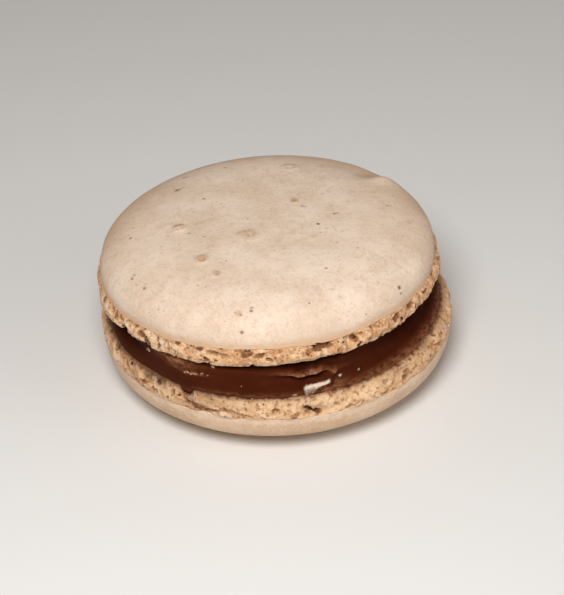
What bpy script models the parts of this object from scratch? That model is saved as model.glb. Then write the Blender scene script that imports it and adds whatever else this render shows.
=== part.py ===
"""Milk chocolate macaron, modelled in Blender.

Two baked almond shells, each a smooth flat-topped cap over a rough frilled foot,
with a thick layer of chocolate cream between them. Lengths are in millimetres
until a mesh is made, and +Z is up. The lower shell is upside down, its cap on the table.
"""

import math

import bpy
from mathutils import Euler, Vector, noise

MM = 0.001

# Caps: rim radius, height, and the power of the curve that runs flat on top and steep at the rim
UPPER_RIM_RADIUS = 22.8
UPPER_CAP_HEIGHT = 6.75
LOWER_RIM_RADIUS = 24.0
LOWER_CAP_HEIGHT = 6.45
CAP_POWER = 3.0
REST_FLAT_DEPTH = 0.14
CAP_UNEVENNESS = 0.10
CAP_UNEVENNESS_SCALE = 9.0

# How oval each piped disc came out, and the azimuth in degrees of its long axis
UPPER_OVAL = (0.30, 52.0)
LOWER_OVAL = (0.12, 75.0)

# Assembly: height of the upper cap's rim over the lower cap's rim, how far it slid, and its tilt
RIM_TO_RIM = 9.84
UPPER_SHIFT_X = -0.9
UPPER_TILT_X = math.radians(-2.35)
UPPER_TILT_Y = math.radians(-0.74)

# Feet: radius outside the rim radius, distance from the rim, share of the relief, and its slope outward
UPPER_FOOT = (
    (0.00, 0.00, 0.15, 0.0),
    (0.16, 0.22, 0.55, 0.0),
    (0.50, 0.65, 1.00, 0.0),
    (0.64, 1.20, 1.00, 0.0),
    (0.62, 1.75, 1.00, 0.0),
    (0.42, 2.25, 0.90, 0.3),
    (0.05, 2.62, 0.70, 0.7),
    (-0.60, 2.80, 0.40, 1.0),
)
LOWER_FOOT = (
    (0.00, 0.00, 0.15, 0.0),
    (0.12, 0.45, 0.55, 0.0),
    (0.22, 1.00, 1.00, 0.0),
    (0.20, 1.60, 1.00, 0.0),
    (0.05, 2.20, 1.00, 0.0),
    (-0.30, 2.75, 0.90, 0.4),
    (-0.85, 3.08, 0.70, 0.8),
    (-1.70, 3.25, 0.45, 1.0),
)
# How far a foot's hem spread towards one side, and that azimuth in degrees
UPPER_SPREAD = (0.0, 0.0)
LOWER_SPREAD = (0.35, 110.0)
UNDERSIDE_INSET = 3.4
UPPER_UNDERSIDE = 2.75
LOWER_UNDERSIDE = 3.30

# The two shells read the same noise at two places
UPPER_OFFSET = 0.0
LOWER_OFFSET = 7.0

# Relief of a foot: bubbles and frills
FRILL_DEPTH = 0.45
FRILL_SCALE = 2.6
BUBBLE_DEPTH = 0.34
BUBBLE_SCALE = 1.25
HEM_WAVE = 0.30
HEM_SCALE = 3.4

# Burst bubbles in a foot: azimuth in degrees, distance from the rim, half width, half height, depth
UPPER_HOLLOWS = (
    (-74.0, 0.75, 2.3, 0.50, 0.75),
    (-97.4, 0.60, 1.1, 0.50, 0.70),
    (-92.8, 0.95, 0.9, 0.45, 0.60),
    (-105.5, 0.95, 1.6, 0.40, 0.55),
    (-116.5, 0.90, 1.1, 0.45, 0.65),
    (-128.5, 0.70, 1.0, 0.40, 0.55),
    (-62.5, 1.00, 1.4, 0.50, 0.60),
    (-45.0, 0.70, 1.3, 0.45, 0.60),
    (-37.5, 0.75, 1.1, 0.45, 0.55),
    (-145.6, 1.45, 1.3, 0.60, 0.85),
)
LOWER_HOLLOWS = (
    (-80.0, 1.35, 1.9, 0.60, 0.85),
    (-46.0, 2.10, 1.7, 0.80, 0.80),
    (-130.8, 2.60, 0.9, 0.55, 0.60),
    (-137.2, 2.20, 0.8, 0.50, 0.55),
    (-121.2, 2.90, 1.0, 0.90, 1.00),
    (-108.0, 1.40, 2.4, 0.35, 0.45),
    (-116.5, 0.95, 2.2, 0.35, 0.45),
    (-32.0, 2.60, 1.2, 0.60, 0.60),
)

# Marks on the upper cap: x, y, radius and rise in millimetres
CAP_MARKS = (
    (17.2, 10.6, 2.3, 0.34),
    (13.6, 15.4, 2.6, -0.38),
    (-2.1, -3.6, 1.5, -0.20),
    (-8.4, -9.3, 1.2, -0.16),
    (-11.5, -1.4, 1.1, -0.16),
    (3.8, 12.9, 1.6, -0.18),
)

# Filling: its edge against the lower shell, how far its wall stands back on the right, and the bulge elsewhere
FILLING_RADIUS = 22.75
FILLING_LEAN = 0.70
FILLING_LEAN_AZIMUTH = -110.0
FILLING_WAVE = 0.22
FILLING_WAVE_SCALE = 6.0
WALL_SET_BACK = 2.1
WALL_SET_BACK_AZIMUTH = -18.0
WALL_SET_BACK_SPREAD = 46.0
LIP_TOP = 0.30
LIP_SLOPE = 0.45
WALL_BULGE = 0.45
CLEARANCE = 0.32
HEM_MARGIN = 0.15
FILLING_FLAT_INSET = 3.6
FILLING_CENTRE_INSET = 10.0
# Rings of the wall from the top down: share of its height, and how far the edge rounds off there
FILLING_RINGS = (
    (1.00, 0.55),
    (0.94, 0.16),
    (0.82, 0.02),
    (0.66, 0.00),
    (0.50, 0.00),
    (0.34, 0.00),
    (0.18, 0.02),
    (0.06, 0.12),
    (0.00, 0.45),
)

# Mesh
FOOT_SEGMENTS = 180
CAP_SEGMENTS = 90
CENTRE_SEGMENTS = 45
FILLING_SEGMENTS = 120
RIM_RINGS = (0.995, 0.978, 0.945)
CAP_RINGS = (0.88, 0.78, 0.64, 0.48)
CENTRE_RINGS = (0.30, 0.13)

SHELL_COLOUR = (0.640, 0.440, 0.290, 1.0)
CREAM_COLOUR = (0.070, 0.018, 0.006, 1.0)


# Radius in millimetres at which the relief of every ring is read
RING_RADIUS = 24.0


def angle_between(first, second):
    """Smallest difference of two angles in degrees, with its sign."""
    return (first - second + 180.0) % 360.0 - 180.0


def smooth_noise(x, y, z):
    return noise.noise(Vector((x, y, z)))


def round_noise(theta, radius, height, scale, offset):
    """Noise on a ring of the given radius, so that it closes on itself."""
    x = radius * math.cos(theta) / scale
    y = radius * math.sin(theta) / scale
    return smooth_noise(x + offset, y - offset, height / scale + 0.37 * offset)


def rim_wave(theta, offset):
    """How far a piped and baked disc is from a true circle."""
    rise, azimuth = UPPER_OVAL if offset == UPPER_OFFSET else LOWER_OVAL
    wave = rise * math.cos(2.0 * (theta - math.radians(azimuth)))
    return wave + 0.08 * round_noise(theta, RING_RADIUS, 0.0, 5.0, 3.0 + offset)


def hem_spread(theta, distance, offset):
    """How far the foot leans outward at a distance from the rim."""
    most, azimuth = UPPER_SPREAD if offset == UPPER_OFFSET else LOWER_SPREAD
    return most * math.cos(theta - math.radians(azimuth)) * distance / LOWER_UNDERSIDE


def hem_drop(theta, offset):
    """How far the ragged edge of a foot hangs past its underside."""
    wave = round_noise(theta, RING_RADIUS, 0.0, HEM_SCALE, 11.0 + offset)
    wave += 0.5 * round_noise(theta, RING_RADIUS, 0.0, 0.5 * HEM_SCALE, 23.0 + offset)
    return HEM_WAVE * (0.45 + wave)


def hollow_depth(theta, distance, hollows):
    depth = 0.0
    for azimuth, at, half_width, half_height, deepest in hollows:
        across = math.radians(angle_between(math.degrees(theta), azimuth)) * RING_RADIUS / half_width
        along = (distance - at) / half_height
        depth = max(depth, deepest * math.exp(-(across ** 4) - along ** 2))
    return depth


def foot_relief(theta, distance, offset, hollows):
    """Rise of the frilled foot over its plain form, negative in burst bubbles."""
    frill = round_noise(theta, RING_RADIUS, 1.3 * distance, FRILL_SCALE, 5.0 + offset)
    bubble = abs(round_noise(theta, RING_RADIUS, distance, BUBBLE_SCALE, 17.0 + offset))
    relief = FRILL_DEPTH * frill + BUBBLE_DEPTH * (0.35 - 1.6 * bubble)
    return relief - hollow_depth(theta, distance, hollows)


def foot_section(theta, rim_radius, level, offset, hollows):
    """Radius, and distance below the rim, of one level of a foot."""
    outward, distance, share, downward = level
    radius = rim_radius + rim_wave(theta, offset) + outward + hem_spread(theta, distance, offset)
    radius += share * foot_relief(theta, distance, offset, hollows)
    return radius, distance + downward * hem_drop(theta, offset)


def cap_height(share, rim_height):
    """Height of a cap over its rim, at a share of the rim's radius."""
    return rim_height * (1.0 - min(share, 1.0) ** CAP_POWER) ** (1.0 / CAP_POWER)


def cap_point(theta, share, rim_radius, height, offset, marks, flat_depth):
    radius = share * (rim_radius + rim_wave(theta, offset))
    x = radius * math.cos(theta)
    y = radius * math.sin(theta)
    z = cap_height(share, height)
    fade = 1.0 - share ** 4
    scale = CAP_UNEVENNESS_SCALE
    z += CAP_UNEVENNESS * fade * smooth_noise(x / scale + offset, y / scale, 0.5)
    for mark_x, mark_y, mark_radius, rise in marks:
        away = math.hypot(x - mark_x, y - mark_y) / mark_radius
        z += rise * math.exp(-(away ** 2))
    return Vector((x, y, min(z, height - flat_depth)))


def ring_of(count, point_at):
    return [point_at(2.0 * math.pi * step / count) for step in range(count)]


class RingMesh:
    """A closed body made of rings of points, from one pole to the other."""

    def __init__(self):
        self.points = []
        self.faces = []
        self.last = None

    def pole(self, point):
        start = len(self.points)
        self.points.append(point)
        if self.last is not None:
            first, count = self.last
            for step in range(count):
                self.faces.append((first + step, start, first + (step + 1) % count))
        self.last = (start, 1)

    def ring(self, points):
        start = len(self.points)
        count = len(points)
        self.points.extend(points)
        before, width = self.last
        if width == 1:
            for step in range(count):
                self.faces.append((before, start + step, start + (step + 1) % count))
        elif width == count:
            for step in range(count):
                after = (step + 1) % count
                self.faces.append((before + step, start + step, start + after))
                self.faces.append((before + step, start + after, before + after))
        elif count == 2 * width:
            for step in range(width):
                after = (step + 1) % width
                left = start + 2 * step
                right = start + (2 * step + 2) % count
                self.faces.append((before + step, left, left + 1))
                self.faces.append((before + step, left + 1, before + after))
                self.faces.append((before + after, left + 1, right))
        else:
            for step in range(count):
                after = (step + 1) % count
                left = before + 2 * step
                right = before + (2 * step + 2) % width
                self.faces.append((left, start + step, left + 1))
                self.faces.append((left + 1, start + step, start + after))
                self.faces.append((left + 1, start + after, right))
        self.last = (start, count)


def shell_mesh(rim_radius, height, foot, underside, hollows, marks, offset, flat_depth):
    """One baked shell standing on its foot, the cap's rim at height zero."""
    body = RingMesh()

    def on_cap(share):
        return lambda theta: cap_point(theta, share, rim_radius, height, offset, marks, flat_depth)

    body.pole(cap_point(0.0, 0.0, rim_radius, height, offset, marks, flat_depth))
    for share in reversed(CENTRE_RINGS):
        body.ring(ring_of(CENTRE_SEGMENTS, on_cap(share)))
    for share in reversed(CAP_RINGS):
        body.ring(ring_of(CAP_SEGMENTS, on_cap(share)))
    for share in reversed(RIM_RINGS):
        body.ring(ring_of(FOOT_SEGMENTS, on_cap(share)))

    def on_foot(level):
        def point_at(theta):
            radius, depth = foot_section(theta, rim_radius, level, offset, hollows)
            return Vector((radius * math.cos(theta), radius * math.sin(theta), -depth))

        return point_at

    for level in foot:
        body.ring(ring_of(FOOT_SEGMENTS, on_foot(level)))
    inner = rim_radius - UNDERSIDE_INSET

    def on_underside(radius):
        return lambda theta: Vector((radius * math.cos(theta), radius * math.sin(theta), -underside))

    body.ring(ring_of(CAP_SEGMENTS, on_underside(inner)))
    body.ring(ring_of(CENTRE_SEGMENTS, on_underside(0.5 * inner)))
    body.pole(Vector((0.0, 0.0, -underside)))
    return body


def filling_edge(theta):
    """Radius of the cream where it lies on the lower shell."""
    lean = math.radians(angle_between(math.degrees(theta), FILLING_LEAN_AZIMUTH))
    wave = FILLING_WAVE * round_noise(theta, 23.0, 0.0, FILLING_WAVE_SCALE, 41.0)
    return FILLING_RADIUS + FILLING_LEAN * math.cos(lean) + wave


def wall_set_back(theta):
    away = angle_between(math.degrees(theta), WALL_SET_BACK_AZIMUTH) / WALL_SET_BACK_SPREAD
    return WALL_SET_BACK / (1.0 + away ** 4)


def foot_top(theta, radius, hollows):
    """Height of the lower foot over its rim, at an azimuth and a radius of the part."""
    # The lower shell is turned over about X, so its own azimuth runs the other way
    sections = [foot_section(-theta, LOWER_RIM_RADIUS, level, LOWER_OFFSET, hollows) for level in LOWER_FOOT[3:]]
    inner, height = sections[-1]
    if radius <= inner:
        return max(height, LOWER_UNDERSIDE)
    for (outer, low), (inner, height) in zip(sections[-2::-1], sections[::-1]):
        if radius <= outer:
            return height + (low - height) * (radius - inner) / (outer - inner)
    return sections[0][1]


def filling_mesh(upper_matrix, hollows):
    """The cream layer, which sags over the lower foot and ends under the tilted upper one."""
    body = RingMesh()
    up = upper_matrix.inverted()

    def roof(x, y, below):
        """Height of the plane that lies this far below the upper cap's rim, over a point."""
        height = 0.0
        for _ in range(3):
            height += -below - (up @ Vector((x, y, height))).z
        return height

    def on_wall(share, inset, near_hem):
        def point_at(theta):
            back = wall_set_back(theta)
            level = min(max((share - LIP_TOP) / LIP_SLOPE, 0.0), 1.0)
            step = level * level * (3.0 - 2.0 * level)
            bulge = WALL_BULGE * math.sin(math.pi * share) * (1.0 - back / WALL_SET_BACK)
            radius = filling_edge(theta) - inset - back * step + bulge
            x = radius * math.cos(theta)
            y = radius * math.sin(theta)
            floor = LOWER_CAP_HEIGHT + foot_top(theta, radius, hollows) + CLEARANCE + HEM_MARGIN * near_hem
            local = up @ Vector((x, y, floor))
            hang = max(hem_drop(math.atan2(local.y, local.x), UPPER_OFFSET), 0.0)
            top = roof(x, y, UPPER_UNDERSIDE + CLEARANCE + near_hem * (hang + HEM_MARGIN))
            return Vector((x, y, floor + (top - floor) * share))

        return point_at

    body.pole(Vector((0.0, 0.0, roof(0.0, 0.0, UPPER_UNDERSIDE + CLEARANCE))))
    body.ring(ring_of(FILLING_SEGMENTS // 2, on_wall(1.0, FILLING_CENTRE_INSET, 0.0)))
    body.ring(ring_of(FILLING_SEGMENTS, on_wall(1.0, FILLING_FLAT_INSET, 0.3)))
    for share, inset in FILLING_RINGS:
        body.ring(ring_of(FILLING_SEGMENTS, on_wall(share, inset, 1.0)))
    body.ring(ring_of(FILLING_SEGMENTS, on_wall(0.0, FILLING_FLAT_INSET, 0.0)))
    body.ring(ring_of(FILLING_SEGMENTS // 2, on_wall(0.0, FILLING_CENTRE_INSET, 0.0)))
    body.pole(Vector((0.0, 0.0, LOWER_CAP_HEIGHT + LOWER_UNDERSIDE + CLEARANCE)))
    return body


def make_material(name, colour, roughness):
    material = bpy.data.materials.new(name)
    material.use_nodes = True
    shader = material.node_tree.nodes["Principled BSDF"]
    shader.inputs["Base Color"].default_value = colour
    shader.inputs["Roughness"].default_value = roughness
    shader.inputs["Metallic"].default_value = 0.0
    return material


def add_node(name, body, material, flip, location, rotation):
    mesh = bpy.data.meshes.new(name)
    points = [tuple(point * MM) for point in body.points]
    faces = [face[::-1] for face in body.faces] if flip else body.faces
    mesh.from_pydata(points, [], faces)
    mesh.validate()
    mesh.shade_smooth()
    mesh.materials.append(material)
    node = bpy.data.objects.new(name, mesh)
    node.location = location
    node.rotation_euler = rotation
    bpy.context.scene.collection.objects.link(node)
    return node


def main():
    for old in list(bpy.data.objects):
        bpy.data.objects.remove(old)

    shell_material = make_material("baked almond shell", SHELL_COLOUR, 0.6)
    cream_material = make_material("milk chocolate cream", CREAM_COLOUR, 0.28)

    # Everything sinks by the depth of the flat spot that the part rests on
    drop = Vector((0.0, 0.0, REST_FLAT_DEPTH))
    upper_at = Vector((UPPER_SHIFT_X, 0.0, LOWER_CAP_HEIGHT + RIM_TO_RIM))
    upper_turn = Euler((UPPER_TILT_X, UPPER_TILT_Y, 0.0))
    upper_matrix = upper_turn.to_matrix().to_4x4()
    upper_matrix.translation = upper_at

    upper = shell_mesh(
        UPPER_RIM_RADIUS, UPPER_CAP_HEIGHT, UPPER_FOOT, UPPER_UNDERSIDE,
        UPPER_HOLLOWS, CAP_MARKS, UPPER_OFFSET, 0.0,
    )
    add_node("upper_shell", upper, shell_material, False, (upper_at - drop) * MM, upper_turn)

    lower_hollows = [(-azimuth, at, wide, high, deep) for azimuth, at, wide, high, deep in LOWER_HOLLOWS]
    lower = shell_mesh(
        LOWER_RIM_RADIUS, LOWER_CAP_HEIGHT, LOWER_FOOT, LOWER_UNDERSIDE,
        lower_hollows, (), LOWER_OFFSET, REST_FLAT_DEPTH,
    )
    lower_at = Vector((0.0, 0.0, LOWER_CAP_HEIGHT)) - drop
    add_node("lower_shell", lower, shell_material, False, lower_at * MM, Euler((math.pi, 0.0, 0.0)))

    filling = filling_mesh(upper_matrix, lower_hollows)
    add_node("filling", filling, cream_material, False, -drop * MM, Euler((0.0, 0.0, 0.0)))


main()
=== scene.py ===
# %% [markdown]
# # A filled macaron
# A macaron is two round shells of almond flour, sugar and beaten egg white, baked and stuck together with
# cream. Each shell has a thin smooth skin on top, because the piped batter dries before it bakes, and a rough
# foot below, where the hot foam pushed out from under that skin. The skins, the feet and the cream are made
# here as pieces of their own, because each has its own finish, and each keeps the place of its solid.

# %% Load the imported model
import math

import bmesh
import bpy
import numpy as np
from mathutils import Euler, Matrix, Vector, noise
from mathutils.bvhtree import BVHTree


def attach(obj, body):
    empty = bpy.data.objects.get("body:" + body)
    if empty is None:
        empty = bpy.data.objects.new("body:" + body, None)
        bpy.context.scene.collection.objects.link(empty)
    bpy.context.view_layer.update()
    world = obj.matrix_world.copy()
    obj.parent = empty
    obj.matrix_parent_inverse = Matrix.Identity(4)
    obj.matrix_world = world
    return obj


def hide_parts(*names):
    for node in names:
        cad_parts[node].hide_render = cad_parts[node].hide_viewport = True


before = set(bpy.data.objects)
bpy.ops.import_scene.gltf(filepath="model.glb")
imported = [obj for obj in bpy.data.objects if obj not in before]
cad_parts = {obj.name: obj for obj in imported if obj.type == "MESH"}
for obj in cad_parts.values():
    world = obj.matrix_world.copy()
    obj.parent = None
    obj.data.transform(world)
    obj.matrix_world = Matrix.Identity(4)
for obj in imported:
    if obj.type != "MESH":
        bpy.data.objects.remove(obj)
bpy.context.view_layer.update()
MM = 0.001
print("solids:", sorted(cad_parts))

# %% [markdown]
# ## Node helpers
# Colours are written as the eye sees them, in sRGB, and a renderer works in linear light, so one function
# turns them. Another adds a node to a tree with its settings and what feeds it, and short words for the kinds
# of node used most keep the trees below readable.

# %% Colour and node helpers
def linear(code):
    """A hex sRGB colour as linear red, green, blue and alpha."""
    parts = [int(code[i:i + 2], 16) / 255.0 for i in (1, 3, 5)]
    turned = [c / 12.92 if c <= 0.04045 else ((c + 0.055) / 1.055) ** 2.4 for c in parts]
    return (*turned, 1.0)


def feed(tree, node, feeds):
    """Feeds a node's inputs with values or with other nodes."""
    for key, value in feeds.items():
        if isinstance(value, bpy.types.Node):
            value = next(output for output in value.outputs if output.enabled)
        if isinstance(value, bpy.types.NodeSocket):
            tree.links.new(value, node.inputs[key])
        else:
            node.inputs[key].default_value = value


def add(tree, kind, feeds=None, **settings):
    """Adds a node with its settings and its feeds."""
    node = tree.nodes.new(kind)
    for name, value in settings.items():
        setattr(node, name, value)
    feed(tree, node, feeds or {})
    return node


def calc(tree, operation, *values, **settings):
    """Arithmetic on up to three numbers."""
    return add(tree, "ShaderNodeMath", dict(enumerate(values)), operation=operation, **settings).outputs[0]


def vector(tree, operation, *values):
    """Arithmetic on vectors."""
    node = add(tree, "ShaderNodeVectorMath", dict(enumerate(values)), operation=operation)
    return node.outputs["Value" if operation in ("LENGTH", "DOT_PRODUCT") else "Vector"]


def clouds(tree, place, scale, detail, **more):
    """Noise with about that many clouds a metre."""
    return add(tree, "ShaderNodeTexNoise", {"Vector": place, "Scale": scale, "Detail": detail, **more})


def ramp(tree, value, low, high, most=1.0, least=0.0, **settings):
    """Goes from least to most while a value goes from low to high."""
    feeds = {"Value": value, "From Min": low, "From Max": high, "To Min": least, "To Max": most}
    return add(tree, "ShaderNodeMapRange", feeds, **settings).outputs[0]


def blend(tree, factor, first, code):
    """A colour, or what another node gives, mixed with a second colour."""
    first = linear(first) if isinstance(first, str) else first
    return add(tree, "ShaderNodeMix", {0: factor, 6: first, 7: linear(code)}, data_type="RGBA").outputs[2]


def layers(tree, colour, *coats):
    """Coats laid one over the other, each one thicker as its value goes from low to high."""
    for value, low, high, most, code in coats:
        colour = blend(tree, ramp(tree, value, low, high, most), colour, code)
    return colour


def dots(tree, place, scale, rare, reach):
    """Scattered round dots: how far inside one a point lies, and a chance number of its own."""
    cells = add(tree, "ShaderNodeTexVoronoi", {"Vector": place, "Scale": scale}).outputs
    chance = add(tree, "ShaderNodeSeparateColor", {0: cells["Color"]}).outputs
    return calc(tree, "SUBTRACT", ramp(tree, chance[0], rare, 1.0, reach), cells["Distance"]), chance[1]


def felt(tree, name):
    """An attribute of the mesh."""
    return add(tree, "ShaderNodeAttribute", attribute_name=name).outputs["Fac"]


def new_paint(label):
    """A material, with its tree, its shader and the place on the object."""
    material = bpy.data.materials.new(label)
    material.use_nodes = True
    tree = material.node_tree
    return material, tree, tree.nodes["Principled BSDF"], add(tree, "ShaderNodeTexCoord").outputs["Object"]


def new_group(name, inputs):
    """A Geometry Nodes tree, and its inputs, each given as a name, a kind and a value."""
    tree = bpy.data.node_groups.new(name, "GeometryNodeTree")
    for label, kind, value in (("Geometry", "Geometry", None), *inputs):
        socket = tree.interface.new_socket(label, in_out="INPUT", socket_type="NodeSocket" + kind)
        if value is not None:
            socket.default_value = value
    tree.interface.new_socket("Geometry", in_out="OUTPUT", socket_type="NodeSocketGeometry")
    return tree, add(tree, "NodeGroupInput").outputs


print("beige in linear light:", [round(c, 3) for c in linear("#DAC0A7")])

# %% [markdown]
# ## Mesh helpers
# A piece is a mesh whose object sits at the origin. Some are computed point by point, and some are grown: a
# tree of Geometry Nodes makes a new mesh out of a plain one, which is then put away.

# %% Mesh helpers
def direction(azimuth):
    return Vector((math.cos(math.radians(azimuth)), math.sin(math.radians(azimuth)), 0.0))


def new_object(name, data):
    made = bpy.data.objects.new(name, data)
    bpy.context.scene.collection.objects.link(made)
    return made


def new_mesh(name, points, edges, faces, domain="POINT", **values):
    """A mesh from points in metres, with named values stored in it as attributes."""
    mesh = bpy.data.meshes.new(name)
    mesh.from_pydata(points, edges, faces)
    for label, numbers in values.items():
        mesh.attributes.new(label, "FLOAT", domain).data.foreach_set("value", numbers)
    mesh.shade_smooth()
    return mesh


def place_piece(name, mesh, matrix=Matrix()):
    """A piece whose object sits at the origin, with its place in its mesh."""
    mesh.transform(matrix)
    mesh.update()
    print(name, "triangles:", sum(len(face.vertices) - 2 for face in mesh.polygons))
    return new_object(name, mesh)


def grow(name, mesh, tree, inputs):
    """The mesh that a tree makes of another one, with the tree's inputs set by their names."""
    holder = new_object(name + "_form", mesh)
    modifier = holder.modifiers.new(tree.name, "NODES")
    modifier.node_group = tree
    socket = {item.name: item.identifier for item in tree.interface.items_tree if item.in_out == "INPUT"}
    for label, value in inputs.items():
        modifier[socket[label]] = value
    held = bpy.context.evaluated_depsgraph_get()
    made = bpy.data.meshes.new_from_object(holder.evaluated_get(held), depsgraph=held)
    made.name = name
    for spare in (holder, *[value for value in inputs.values() if isinstance(value, bpy.types.Object)]):
        bpy.data.objects.remove(spare)
    return made


print("front of the macaron:", tuple(direction(-90.0)))

# %% [markdown]
# ## Where the shells sit
# Both shells are modelled upright, with the cap's rim at height zero and the foot below it. The lower one is
# then turned over, and the upper one is set on the cream a little to the left, leaning back, as it was
# pressed on by hand.

# %% Places of the two shells
UPPER_RIM_RADIUS = 22.8
UPPER_CAP_HEIGHT = 6.61
LOWER_RIM_RADIUS = 24.0
LOWER_CAP_HEIGHT = 6.45
REST_FLAT_DEPTH = 0.14
LOWER_RIM_LEVEL = LOWER_CAP_HEIGHT - REST_FLAT_DEPTH
RIM_TO_RIM = 9.84
UPPER_SHIFT = -0.9
UPPER_LEAN = (math.radians(-2.35), math.radians(-0.74), 0.0)

upper_place = Euler(UPPER_LEAN).to_matrix().to_4x4()
upper_place.translation = Vector((UPPER_SHIFT, 0.0, LOWER_CAP_HEIGHT + RIM_TO_RIM - REST_FLAT_DEPTH)) * MM
lower_place = Matrix.Rotation(math.pi, 4, "X")
lower_place.translation = Vector((0.0, 0.0, LOWER_RIM_LEVEL)) * MM
print("upper rim at", [round(v * 1000, 2) for v in upper_place.translation], "mm")

# %% [markdown]
# ## The skin's form
# The skin is a flat-topped dome: in section a curve with a power near 3 instead of the 2 of an ellipse. It
# isn't quite round or even, because the batter was piped by hand, and air that rose under it left low
# blisters, some of them broken. A grid of rings with a pole at the top follows such a rule best, so it is
# computed point by point.

# %% Rule of the skin
CAP_POWER = 3.0
UNEVENNESS = 0.10
UNEVENNESS_SIZE = 9.0
ORANGE_PEEL = 0.018
ORANGE_PEEL_SIZE = 1.4


def ring_noise(theta, size, seed, radius=24.0):
    """Noise along a ring that closes on itself, for features of that size in mm."""
    x = radius * math.cos(theta) / size
    y = radius * math.sin(theta) / size
    return noise.noise(Vector((x + seed, y - seed, 0.37 * seed)))


def skin_height(x, y, share, height, marks, craters, seed):
    z = height * (1.0 - min(share, 1.0) ** CAP_POWER) ** (1.0 / CAP_POWER)
    fade = 1.0 - min(share, 1.0) ** 4
    z += UNEVENNESS * fade * noise.noise(Vector((x / UNEVENNESS_SIZE + seed, y / UNEVENNESS_SIZE, 0.5)))
    z += ORANGE_PEEL * noise.noise(Vector((x, y, 0.0)) / ORANGE_PEEL_SIZE)
    for mark_x, mark_y, radius, rise in marks:
        away = math.hypot(x - mark_x, y - mark_y) / radius
        if away < 3.0:
            z += rise * math.exp(-(away ** 2))
    for mark_x, mark_y, radius, depth in craters:
        away = math.hypot(x - mark_x, y - mark_y) / radius
        if away < 2.5:
            ring = math.exp(-(((away - 0.75) / 0.45) ** 2))
            z += depth * (ring - 0.85 * math.exp(-((away / 0.50) ** 2)))
    return z


halfway = skin_height(0.5 * UPPER_RIM_RADIUS, 0.0, 0.5, UPPER_CAP_HEIGHT, (), (), 0.0)
print("height halfway out:", round(halfway, 2), "mm")

# %% [markdown]
# ## The skin as a mesh
# Below the rim the skin ends in a thin wavy edge that lies over the foot, and the mesh then turns in under it
# and closes at the axis, so the piece is a closed body. Three attributes guide its paint: how high a point
# lies over the rim, where a broken blister left a tan middle, and where a large fleck of almond skin lies,
# together with painted shade on the back rims of broken blisters.

# %% Build a skin
SKIN_SEGMENTS = 540
DOME_RINGS = 150
SKIRT_RINGS = 8


def spot_tone(spot, spots):
    """The strongest of some round spots at a point, each with its middle, radius and strength."""
    tone = 0.0
    for middle_of_spot, radius, strength in spots:
        away = math.dist(spot, middle_of_spot) / radius
        if away < 2.0:
            tone = max(tone, strength * math.exp(-(away ** 4)))
    return tone


def skirt_point(theta, share, rim, seed):
    """A point of the edge that hangs over the foot, and turns in under the skin from a share of 0.6."""
    edge = 0.20 + 0.30 * ring_noise(theta, 2.2, 31.0 + seed) + 0.16 * ring_noise(theta, 0.8, 57.0 + seed)
    turn = min(share * 1.6, 1.0)
    tuck = max(share - 0.6, 0.0) / 0.4
    radius = rim + (0.05 * math.sin(math.pi * turn) - 1.6 * tuck ** 1.3)
    z = 0.25 * tuck - max(edge, 0.04) * math.sin(0.5 * math.pi * turn)
    return radius * math.cos(theta), radius * math.sin(theta), z


def skin_mesh(name, rim, height, oval, azimuth, seed, flat, marks=(), craters=(), spots=(), flecks=()):
    def rim_at(theta):
        wave = oval * math.cos(2.0 * (theta - math.radians(azimuth)))
        return rim + (wave + 0.08 * ring_noise(theta, 5.0, 3.0 + seed))

    def dome_point(x, y, share):
        return x, y, min(skin_height(x, y, share, height, marks, craters, seed), height - flat)

    def lifted(flat_spots):
        """Spots given by x and y, set on the dome, so that they stay round where it is steep."""
        kept = []
        for x, y, radius, strength in flat_spots:
            share = math.hypot(x, y) / rim_at(math.atan2(y, x))
            kept.append(((x, y, skin_height(x, y, share, height, marks, craters, seed)), radius, strength))
        return kept

    thetas = [2.0 * math.pi * step / SKIN_SEGMENTS for step in range(SKIN_SEGMENTS)]
    rims = [rim_at(theta) for theta in thetas]
    points = []
    for ring in range(1, DOME_RINGS + 1):
        share = math.sin(0.5 * math.pi * ring / DOME_RINGS)
        for theta, edge in zip(thetas, rims):
            points.append(dome_point(share * edge * math.cos(theta), share * edge * math.sin(theta), share))
    dome = len(points)
    for ring in range(1, SKIRT_RINGS + 1):
        for theta, edge in zip(thetas, rims):
            points.append(skirt_point(theta, ring / SKIRT_RINGS, edge, seed))
    top = len(points)
    points += [dome_point(0.0, 0.0, 0.0), (0.0, 0.0, -0.2)]
    faces = []
    last = top - SKIN_SEGMENTS
    for step in range(SKIN_SEGMENTS):
        after = (step + 1) % SKIN_SEGMENTS
        faces.append((top, step, after))
        for here in range(0, last, SKIN_SEGMENTS):
            below = here + SKIN_SEGMENTS
            faces.append((here + step, below + step, below + after, here + after))
        faces.append((last + step, top + 1, last + after))
    bare = [0.0] * (len(points) - dome)
    tan_spots = lifted(spots)
    dark_spots = lifted(flecks)
    return new_mesh(
        name, [(x * MM, y * MM, z * MM) for x, y, z in points], [], faces, level=[z for x, y, z in points],
        tan=[spot_tone(point, tan_spots) for point in points[:dome]] + bare,
        dark=[spot_tone(point, dark_spots) for point in points[:dome]] + bare,
    )


# Blisters and dents in the upper skin, as x, y, radius and rise in mm
UPPER_MARKS = (
    (16.9, 10.4, 1.7, 0.62), (14.0, 13.2, 2.6, -0.42), (-4.1, -20.6, 0.7, 0.1), (6.3, -6.6, 0.55, 0.05),
    (4.6, 11.6, 1.6, 0.1), (-15.0, -9.0, 3.0, 0.06), (9.0, -12.0, 3.5, 0.07), (-6.0, 9.0, 3.0, -0.06),
)
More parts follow.
